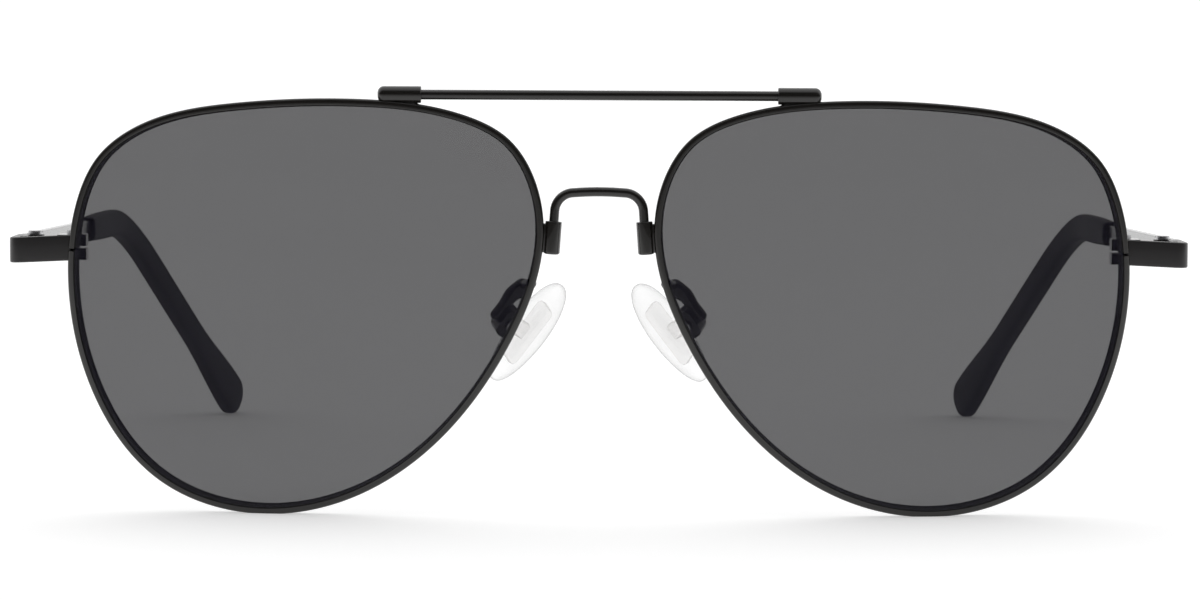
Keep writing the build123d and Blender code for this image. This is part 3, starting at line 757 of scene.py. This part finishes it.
def tip_grid():
    """Superellipse |u / a|^n + |v / b|^n = 1 along the bend; a and b follow the distance from the mouth."""
    mouth = temple_start + level_way * (STRIP_LENGTH - TIP_LAP)
    path = bent_path([mouth, temple_corner, temple_end], [TEMPLE_BEND], 0.4 * MM)
    length = np.linalg.norm(np.diff(path, axis=0), axis=1).sum()
    # Points lie close together at both ends, where the outline turns.
    share = (1 - np.cos(np.radians(np.linspace(0, 180, 161)))) / 2
    path = evenly(path, FINE_STEPS + 1)[np.round(share * FINE_STEPS).astype(int)]
    distance = share * length
    even_ways = directions(evenly(path, len(path)))
    even = np.linspace(0, length, len(path))
    along = unit(np.stack([np.interp(distance, even, way) for way in even_ways.T], axis=-1))
    aside = unit(np.cross(along, UP))
    upward = np.cross(aside, along)
    round_start = length - PADDLE_HEIGHT / 2
    mouth_edge = np.sqrt(1 - (1 - np.clip(distance / MOUTH_EDGE, 0, 1)) ** 2)
    drawn_in = MOUTH_DRAW * (1 - mouth_edge)
    past_round = np.clip((distance - round_start) / (PADDLE_HEIGHT / 2), 0, 1)
    end_edge = np.sqrt(np.clip(1 - past_round ** 2, 0, 1))
    height = TIP_MOUTH_HEIGHT + (TIP_HEIGHT - TIP_MOUTH_HEIGHT) * smooth(distance, 0, MOUTH_LENGTH)
    widening = smooth(distance, round_start - PADDLE_LENGTH, round_start)
    height = height + (PADDLE_HEIGHT - TIP_HEIGHT) * widening
    height = (height - drawn_in) * end_edge
    thickness = (TIP_THICKNESS - drawn_in) * np.sqrt(end_edge)
    angle = np.radians(np.linspace(0, 360, 48, endpoint=False))
    power = 2 / TIP_SQUARENESS
    curve = [np.sign(wave) * np.abs(wave) ** power for wave in (np.cos(angle), np.sin(angle))]
    section = np.stack([thickness[:, None] / 2 * curve[0], height[:, None] / 2 * curve[1]], axis=-1)
    return carried(path, aside, upward, section)


for name, side in SIDES.items():
    tip = mesh_piece(f"ear_tip_{name}", tip_grid(), side, crease=50)
    fit(tip, f"temple_arm_{name}", "tip_plastic", MATT_TIP, f"temple_tip_{name}")

# %% [markdown]
# ## Nose pads
#
# A pad is clear soft silicone moulded round a hard core, whose lug is screwed into a small box on the
# pad arm. Against a bright ground clear plastic is drawn by its edges alone: thin grey lines where it
# bends the view away. Real refraction would draw them too, at the cost of noise and of a look that no
# exported file keeps, so the shader paints them: painted edge shade, where the surface turns away its
# colour darkens and its alpha thickens.

# %% The pad's own directions
PAD_LEAN, PAD_RECLINE, PAD_SPLAY = (math.radians(angle) for angle in (37, 8, 62))
PAD_THICKNESS = 2.6 * MM
leaned_up = UP * math.cos(PAD_LEAN) - ACROSS * math.sin(PAD_LEAN)
PAD_UP = leaned_up * math.cos(PAD_RECLINE) - BACKWARD * math.sin(PAD_RECLINE)
towards_nose = -ACROSS * math.cos(PAD_LEAN) - UP * math.sin(PAD_LEAN)
pad_face = towards_nose * math.sin(PAD_SPLAY) + BACKWARD * math.cos(PAD_SPLAY)
PAD_NORMAL = unit(pad_face - PAD_UP * (pad_face @ PAD_UP))
PAD_ACROSS = np.cross(PAD_UP, PAD_NORMAL)
pad_low, pad_high = (np.array(corner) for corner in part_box("nose_pad_left"))
PAD_CENTRE = (pad_low + pad_high) / 2
print("pad centre in mm:", np.round(PAD_CENTRE / MM, 2))


def in_pad(across, up, out):
    """From the pad's own width, length and thickness to its place."""
    return PAD_CENTRE + across[..., None] * PAD_ACROSS + up[..., None] * PAD_UP + out[..., None] * PAD_NORMAL


# %% Pads and cores
PAD_WIDTH = 7.6 * MM
PAD_HEIGHT = 15.0 * MM
LUG_LENGTH = 2.5 * MM
CORE_WIDTH = 3.8 * MM
CORE_HEIGHT = 8.4 * MM
CORE_THICKNESS = 0.9 * MM
CORE_ROUNDING = 0.7 * MM
LUG_WIDTH = 1.5 * MM
LUG_HEIGHT = 2.0 * MM
LUG_ROUNDING = 0.25 * MM


def pad_grid():
    """A pillow: ring size |cos f|^0.5, height |sin f|^0.8, on an egg-shaped outline, wider at the top."""
    rise = np.radians(np.linspace(-90, 90, 41))[:, None]
    turn = np.radians(np.linspace(0, 360, 64, endpoint=False))[None]
    size = np.cos(rise).clip(0) ** 0.5
    across = PAD_WIDTH / 2 * np.cos(turn) * (1 + 0.1 * np.sin(turn)) * size
    up = PAD_HEIGHT / 2 * np.sin(turn) * size
    out = PAD_THICKNESS / 2 * np.sign(rise) * np.abs(np.sin(rise)) ** 0.8
    return in_pad(across, up, out)


def core_grid():
    """A flat plate with rounded corners and thin bevelled faces."""
    inset = np.array([0.5, 0.12, 0, 0, 0.12, 0.5]) * MM
    level = np.array([-0.5, -0.5, -0.32, 0.32, 0.5, 0.5]) * CORE_THICKNESS
    ring = rounded_box(CORE_WIDTH - 2 * inset, CORE_HEIGHT - 2 * inset, CORE_ROUNDING)
    return in_pad(ring[..., 0], ring[..., 1], level[:, None])


def lug_grid():
    """The core's lug: a short bar from the plate back into the pad box, round at its end."""
    share = np.linspace(0, 1, 9)
    root, end = -CORE_THICKNESS / 2, -PAD_THICKNESS / 2 - LUG_LENGTH
    level = root + (end - root) * share
    size = np.sqrt(1 - 0.6 * np.clip(share * 5 - 4, 0, 1) ** 2)
    ring = rounded_box(LUG_WIDTH * size, LUG_HEIGHT * size, LUG_ROUNDING * size)
    return in_pad(ring[..., 0], ring[..., 1], level[:, None])


for name, side in SIDES.items():
    pad = mesh_piece(f"silicone_pad_{name}", pad_grid(), side, caps=False, crease=80)
    core = mesh_piece(f"pad_plate_{name}", core_grid(), side)
    lug = mesh_piece(f"pad_lug_{name}", lug_grid(), side)
    fit(pad, f"pad_{name}", "pad_silicone", RUBBER, f"nose_pad_{name}")
    fit(core, f"pad_{name}", "pad_core_plastic", CORE, f"pad_core_{name}")
    fit(lug, f"pad_{name}", "pad_core_plastic", CORE, f"pad_core_{name}")

# %% [markdown]
# The pad arm is a wire flattened between rollers. It is brazed to the back of the rim, comes back, loops
# outwards behind the lens and ends at the pad box, so that it can be bent to move the pad.

# %% Pad arms
ARM_FOOT = on_lens(np.array([-0.965 * LENS_WIDTH / 2, 3.5 * MM]), 1.53 * MM, LENS_CENTRE)
ARM_TO_SHOULDER = np.array([0.6, 3.2, -0.3]) * MM
ARM_ALONG_BOX = np.array([3.2, -0.8]) * MM
ARM_LEVEL = -5.05 * MM
ARM_BEND = 0.96 * MM
ARM_THICKNESS = 1.15 * MM
ARM_ROUNDING = 0.45 * MM


def arm_grid():
    """A slightly flattened wire: back from the rim, round a shoulder, then down along the pad box.

    Width = 1.2 + 0.9 * sin(pi * s / 0.75) + 0.3 * s in mm, so it swells behind the lens.
    """
    along_box = in_pad(np.zeros(2), ARM_ALONG_BOX, np.full(2, ARM_LEVEL))
    corners = [ARM_FOOT, ARM_FOOT + ARM_TO_SHOULDER, *along_box]
    path = evenly(bent_path(corners, [ARM_BEND] * 2, 0.1 * MM), 120)
    along = directions(path)
    aside = unit(np.cross(along, PAD_ACROSS))
    share = np.linspace(0, 1, 120)
    end = np.sqrt(1 - np.clip(share * 12 - 11.05, 0, 0.95) ** 2)
    width = (1.2 + 0.9 * np.sin(np.pi * share.clip(0, 0.75) / 0.75) + 0.3 * share) * MM
    section = rounded_box(width * end, ARM_THICKNESS * end, ARM_ROUNDING * end)
    return carried(path, aside, np.cross(aside, along), section)


for name, side in SIDES.items():
    arm = mesh_piece(f"pad_wire_{name}", arm_grid(), side)
    fit(arm, "front", "frame_gloss_black", GLOSS_BLACK, f"pad_arm_{name}")

# %% [markdown]
# ## Small metal parts
#
# Rim locks, hinge halves and pad boxes have the right shape in CAD, but perfectly sharp edges, and no
# real edge is sharp. A copy of each gets its coinciding points joined and a narrow bevel. The screws,
# short turned rods with a slot across the head, are small enough to keep the CAD model's own meshes
# and only get their steel.

# %% Broken edges on the small blocks
BLOCK_EDGE = 0.06 * MM
SAME_POINT = 2e-6


def broken_edges(node, name):
    """A copy of a CAD node with its edges rounded by a narrow bevel."""
    mesh = bpy.data.objects[node].data.copy()
    mesh.name = name
    work = bmesh.new()
    work.from_mesh(mesh)
    bmesh.ops.remove_doubles(work, verts=work.verts, dist=SAME_POINT)
    bmesh.ops.dissolve_limit(work, angle_limit=math.radians(3), verts=work.verts, edges=work.edges)
    work.to_mesh(mesh)
    work.free()
    mesh.shade_smooth()
    mesh.set_sharp_from_angle(angle=math.radians(30))
    piece = bpy.data.objects.new(name, mesh)
    bpy.context.scene.collection.objects.link(piece)
    bevel = piece.modifiers.new("broken edges", "BEVEL")
    bevel.width = BLOCK_EDGE
    bevel.segments = 2
    bevel.limit_method = "ANGLE"
    bevel.angle_limit = math.radians(35)
    bevel.harden_normals = True
    return piece


BLOCKS = {
    "rim_lock_upper": ("lock_block_upper", "front", "frame_gloss_black", GLOSS_BLACK),
    "rim_lock_lower": ("lock_block_lower", "front", "frame_gloss_black", GLOSS_BLACK),
    "hinge_front": ("hinge_two_knuckles", "front", "frame_satin_black", SATIN_BLACK),
    "hinge_temple": ("hinge_one_knuckle", "temple_arm", "frame_satin_black", SATIN_BLACK),
    "pad_box": ("pad_cup", "front", "frame_gloss_black", GLOSS_BLACK),
}
for node, (label, body, slot, material) in BLOCKS.items():
    for name in SIDES:
        moves_with = body if body == "front" else f"{body}_{name}"
        block = broken_edges(f"{node}_{name}", f"{label}_{name}")
        fit(block, moves_with, slot, material, f"{node}_{name}")

for node in ("rim_lock_screw", "hinge_screw", "pad_screw"):
    for name in SIDES:
        screw = bpy.data.objects[f"{node}_{name}"]
        screw.data.materials.clear()
        screw.data.materials.append(STEEL)
print("blocks and screws finished")

# %% [markdown]
# ## Ground, light and camera
#
# The ground is white under and behind the glasses and fades to grey a short way in front of them, and
# the room there is dim; the grey on the ground is painted shade for that dim side. That is what keeps
# black metal black: it mirrors the dim side, with a grey line along its top from above and a paler one
# below from the ground. All light comes from the room itself, so the ground is evenly bright and the
# shadows on it stay faint. A lamp close above would leave a bright pool with a dark edge.

# %% Ground
GROUND_REACH = 14.0
WHITE_FROM = -0.09
GREY_FROM = -0.36


def ground_sheet(white, grey, glow):
    """A flat sheet with a little light of its own, which fades from white to grey towards the front: painted
    shade for the dim side that the metal mirrors.
    """
    mesh = bpy.data.meshes.new("ground")
    corners = np.array([(-1, -1, 0), (1, -1, 0), (1, 1, 0), (-1, 1, 0)]) * GROUND_REACH
    mesh.from_pydata(corners.tolist(), [], [(0, 1, 2, 3)])
    sheet = bpy.data.objects.new("ground", mesh)
    bpy.context.scene.collection.objects.link(sheet)
    finish = Finish("ground", Roughness=0.95, Specular_IOR_Level=0.0, Emission_Strength=glow)
    depth = finish.node("ShaderNodeSeparateXYZ", {}, {"Vector": finish.place()}, "Y")
    fade = finish.node(
        "ShaderNodeMapRange", {"interpolation_type": "SMOOTHSTEP"},
        {"Value": depth, "From Min": GREY_FROM, "From Max": WHITE_FROM}, "Result")
    # The grey towards the front, in colour and in glow, is painted shade for the dim side of the room.
    finish.feed("Base Color", finish.blend(fade, (grey, grey, grey, 1), (white, white, white, 1)))
    finish.feed("Emission Color", finish.blend(fade, (grey, grey, grey, 1), (1, 1, 1, 1)))
    mesh.materials.append(finish.material)


ground_sheet(0.85, 0.36, 0.45)


# %% Light
def room_light(dim, bright):
    """A room that is bright behind and above and dim in front: it follows 0.8 y + 0.6 z."""
    world = bpy.data.worlds.new("room")
    bpy.context.scene.world = world
    world.use_nodes = True
    tree = world.node_tree
    background = tree.nodes["Background"]
    where = tree.nodes.new("ShaderNodeTexCoord")
    towards = tree.nodes.new("ShaderNodeVectorMath")
    towards.operation = "DOT_PRODUCT"
    towards.inputs[1].default_value = (0, 0.8, 0.6)
    ramp = tree.nodes.new("ShaderNodeMapRange")
    ramp.interpolation_type = "SMOOTHSTEP"
    for socket, value in {"From Min": -0.15, "From Max": 0.45, "To Min": dim, "To Max": bright}.items():
        ramp.inputs[socket].default_value = value
    tree.links.new(where.outputs["Generated"], towards.inputs[0])
    tree.links.new(towards.outputs["Value"], ramp.inputs["Value"])
    tree.links.new(ramp.outputs["Result"], background.inputs["Strength"])
    background.inputs["Color"].default_value = (1, 1, 1, 1)


room_light(0.07, 1.08)

# %% Camera
LENS_TO_CAMERA = 0.490
CAMERA_HEIGHT = 0.0625
CAMERA_PITCH = math.radians(4.08)
CAMERA_ROLL = math.radians(-0.27)
FOCAL_LENGTH = 119.1
SENSOR_WIDTH = 36
camera_data = bpy.data.cameras.new("camera")
camera_data.lens = FOCAL_LENGTH
camera_data.sensor_width = SENSOR_WIDTH
camera = bpy.data.objects.new("camera", camera_data)
bpy.context.scene.collection.objects.link(camera)
camera.location = (0, LENS_CENTRE[1] - LENS_TO_CAMERA, CAMERA_HEIGHT)
camera.rotation_euler = (math.radians(90) - CAMERA_PITCH, CAMERA_ROLL, 0)
bpy.context.scene.camera = camera
bpy.context.scene.view_settings.view_transform = "Standard"
print("camera at", [round(value, 4) for value in camera.location])
